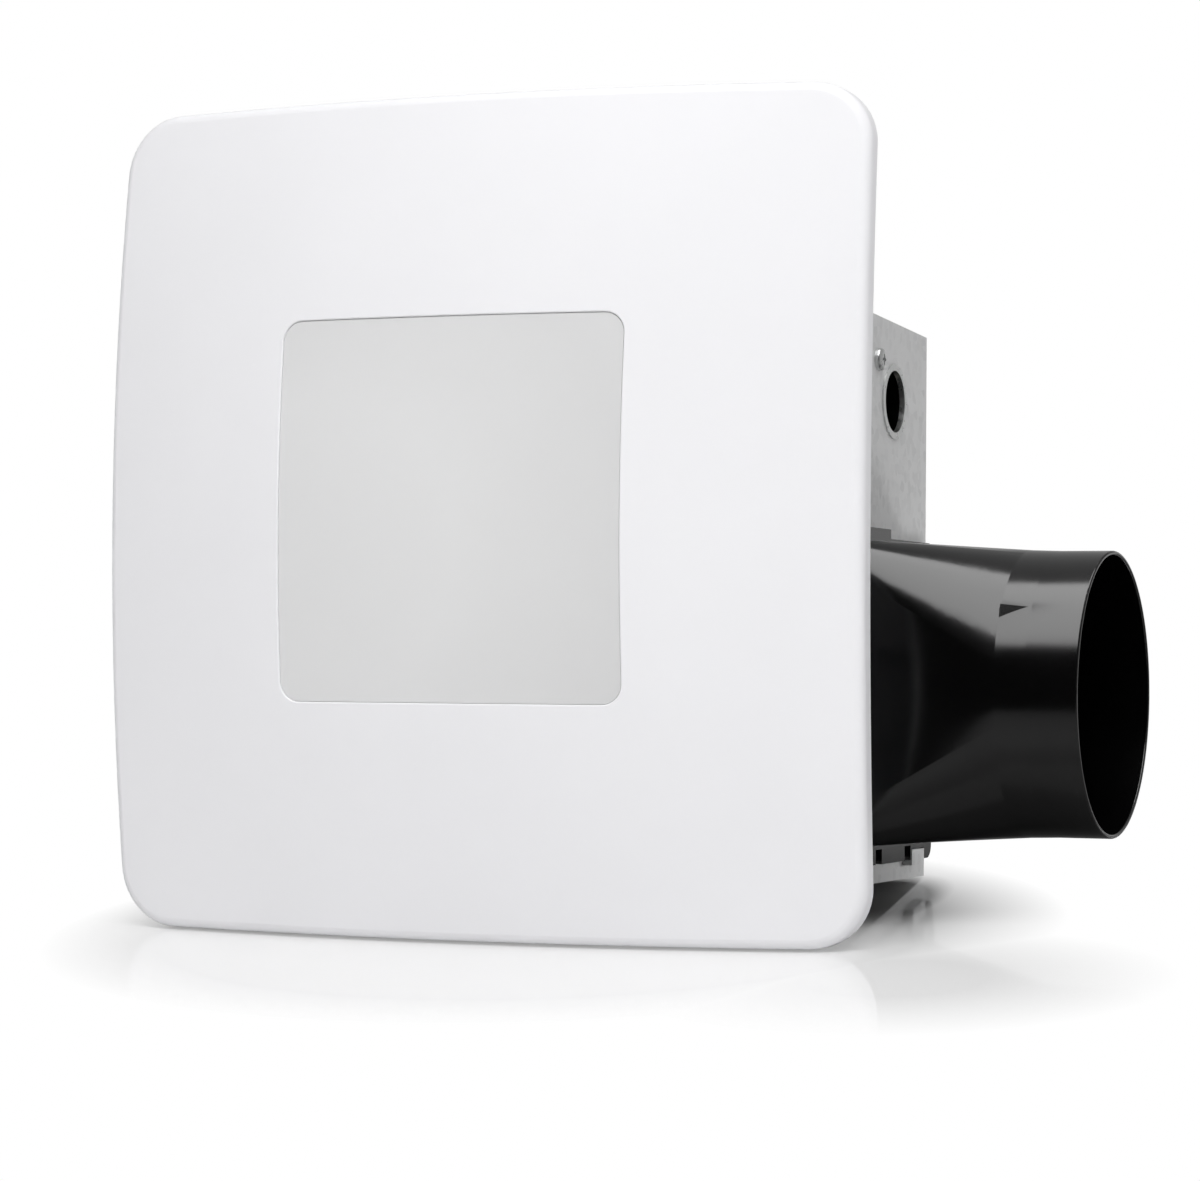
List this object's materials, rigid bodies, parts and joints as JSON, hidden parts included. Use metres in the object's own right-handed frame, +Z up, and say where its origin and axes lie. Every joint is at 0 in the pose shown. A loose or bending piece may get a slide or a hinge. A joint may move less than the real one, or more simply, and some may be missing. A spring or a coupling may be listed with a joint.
{
  "type": "bathroom exhaust fan",
  "caption": "Ceiling bathroom exhaust fan: domed white cover with a square light, galvanised housing, centrifugal blower and a black square-to-round duct adapter with a backdraft flap.",
  "frame": {"origin": "centre of the housing's mouth on the ceiling plane, which is the centre of the four ear holes", "axes": "+Y goes into the space above the ceiling and -Y faces the room, +X is the way the duct leaves, +Z is up in the picture's standing pose"},
  "size_m": [0.34, 0.1852, 0.2884],
  "materials": {
    "cover_plastic": "smooth white moulded plastic, soft gloss",
    "lens_diffuser": "frosted light grey diffuser",
    "galvanised_steel": "zinc coated sheet with a faint spangle",
    "zinc_fastener": "bright zinc plated",
    "black_plastic": "glossy black moulding",
    "scroll_plastic": "dark grey moulding",
    "wheel_plastic": "grey moulding",
    "motor_paint": "black painted steel",
    "motor_iron": "laminated core iron",
    "copper_wire": "enamelled copper end turns",
    "shaft_steel": "ground steel",
    "spring_steel": "drawn spring wire",
    "black_rubber": "soft black rubber",
    "black_foam": "closed cell foam",
    "black_fibre": "pressed fibre sheet",
    "tray_paint": "white painted sheet",
    "board_white": "white coated lamp board",
    "led_phosphor": "yellow light chips",
    "driver_case": "pale grey case",
    "terminal_cream": "cream moulding",
    "ground_green": "green screw",
    "capacitor_case": "pale moulded case",
    "lead_sheath": "grey cable sheath"
  },
  "bodies": {
    "housing": {"housing_box": "galvanised_steel", "conduit_bushing": "zinc_fastener", "knockout_plug": "zinc_fastener", "wall_screw": "zinc_fastener", "wiring_cover": "galvanised_steel", "wiring_liner": "black_fibre", "terminal_block": "terminal_cream", "ground_screw": "ground_green", "plug_socket": "black_plastic", "motor_lead": "lead_sheath", "lead_grommet": "black_rubber", "lead_gland": "black_plastic", "run_capacitor": "capacitor_case", "scroll_casing": "scroll_plastic", "scroll_screws": "zinc_fastener", "inlet_plate": "scroll_plastic", "motor_plate": "galvanised_steel", "motor_plate_screws": "zinc_fastener", "motor_case": "motor_paint", "motor_stator": "motor_iron", "motor_windings": "copper_wire", "motor_bearings": "shaft_steel", "motor_grommets": "black_rubber", "motor_nuts": "zinc_fastener", "duct_adapter": "black_plastic", "adapter_gasket": "black_foam", "adapter_screws": "zinc_fastener"},
    "impeller": {"blower_wheel": "wheel_plastic", "wheel_nut": "zinc_fastener", "motor_shaft": "shaft_steel", "motor_rotor": "motor_iron"},
    "damper": {"damper_flap": "black_plastic", "damper_pin": "shaft_steel"},
    "cover": {"cover_panel": "cover_plastic", "light_lens": "lens_diffuser", "lens_gasket": "black_foam", "light_tray": "tray_paint", "tray_screws": "zinc_fastener", "led_board": "board_white", "led_chips": "led_phosphor", "led_driver": "driver_case", "cover_spring_left": "spring_steel", "cover_spring_right": "spring_steel"}
  },
  "joints": [
    {"name": "wheel_spin", "type": "hinge", "parent": "housing", "child": "impeller", "pos_m": [-0.018, 0.09, 0.0036], "axis": [0, 1, 0], "continuous": true},
    {"name": "damper_swing", "type": "hinge", "parent": "housing", "child": "damper", "pos_m": [0.105, 0.092, -0.0354], "axis": [0, 0, 1], "range_deg": [0, 75]},
    {"name": "cover_pull", "type": "slide", "parent": "housing", "child": "cover", "axis": [0, -1, 0], "range_m": [0, 0.05], "stiffness_N_per_m": 60, "springref_m": -0.06}
  ]
}
